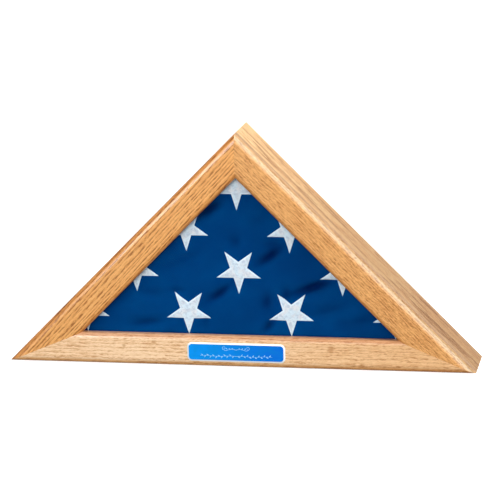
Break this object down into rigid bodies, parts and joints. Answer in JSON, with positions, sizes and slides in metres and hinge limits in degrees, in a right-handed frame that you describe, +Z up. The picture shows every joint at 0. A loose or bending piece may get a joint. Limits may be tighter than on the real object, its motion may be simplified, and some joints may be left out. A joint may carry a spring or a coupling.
{
  "type": "folded flag display case",
  "caption": "Free-standing triangular oak case with a mitred, rounded front frame, glass, a name plate and a lift-out back, holding a folded flag.",
  "frame": {"origin": "on the base plane, in the middle of the whole case's width and depth, with the name plate and the rear screw heads counted in", "axes": "+X to the right along the base as seen from the front, +Y from the front to the back, +Z up to the right-angled apex"},
  "size_m": [0.648, 0.0995, 0.324],
  "materials": {
    "oak_pale": "satin lacquer",
    "oak_flecked": "satin lacquer",
    "oak_streaked": "satin lacquer",
    "oak_board": "satin lacquer",
    "oak_strip": "bare",
    "beech": "bare",
    "glass": "polished",
    "steel_wire": "bright",
    "flag_cloth": "matte cotton",
    "plywood": "bare",
    "plated_steel": "zinc plated",
    "plated_screw": "zinc plated",
    "plate_blue": "satin",
    "tape": "matte"
  },
  "bodies": {
    "case": {"front_rail_bottom": "oak_pale", "front_rail_right": "oak_flecked", "front_rail_left": "oak_streaked", "mitre_biscuit_left": "beech", "mitre_biscuit_right": "beech", "mitre_biscuit_apex": "beech", "box_board_bottom": "oak_board", "box_board_right": "oak_board", "box_board_left": "oak_board", "box_spline_left": "beech", "box_spline_right": "beech", "box_spline_apex": "beech", "locating_dowels": "beech", "glass_pane": "glass", "glass_stop_bottom": "oak_strip", "glass_stop_right": "oak_strip", "glass_stop_left": "oak_strip", "glass_stop_brads": "steel_wire", "folded_flag": "flag_cloth", "turn_button_screws": "plated_screw", "name_plate": "plate_blue", "name_plate_tape": "tape"},
    "back_cover": {"back_panel": "plywood"},
    "button_1": {"turn_button_1": "plated_steel"},
    "button_2": {"turn_button_2": "plated_steel"},
    "button_3": {"turn_button_3": "plated_steel"},
    "button_4": {"turn_button_4": "plated_steel"},
    "button_5": {"turn_button_5": "plated_steel"},
    "button_6": {"turn_button_6": "plated_steel"}
  },
  "joints": [
    {"name": "back_panel_slide", "type": "slide", "parent": "case", "child": "back_cover", "axis": [0, 1, 0], "range_m": [0, 0.05]},
    {"name": "button_1_turn", "type": "hinge", "parent": "case", "child": "button_1", "pos_m": [-0.162, 0.0469, 0.005], "axis": [0, -1, 0], "range_deg": [0, 90]},
    {"name": "button_2_turn", "type": "hinge", "parent": "case", "child": "button_2", "pos_m": [0.162, 0.0469, 0.005], "axis": [0, 1, 0], "range_deg": [0, 90]},
    {"name": "button_3_turn", "type": "hinge", "parent": "case", "child": "button_3", "pos_m": [0.23946, 0.0469, 0.07746], "axis": [0, -1, 0], "range_deg": [0, 90]},
    {"name": "button_4_turn", "type": "hinge", "parent": "case", "child": "button_4", "pos_m": [0.07746, 0.0469, 0.23946], "axis": [0, 1, 0], "range_deg": [0, 90]},
    {"name": "button_5_turn", "type": "hinge", "parent": "case", "child": "button_5", "pos_m": [-0.07746, 0.0469, 0.23946], "axis": [0, -1, 0], "range_deg": [0, 90]},
    {"name": "button_6_turn", "type": "hinge", "parent": "case", "child": "button_6", "pos_m": [-0.23946, 0.0469, 0.07746], "axis": [0, 1, 0], "range_deg": [0, 90]}
  ]
}
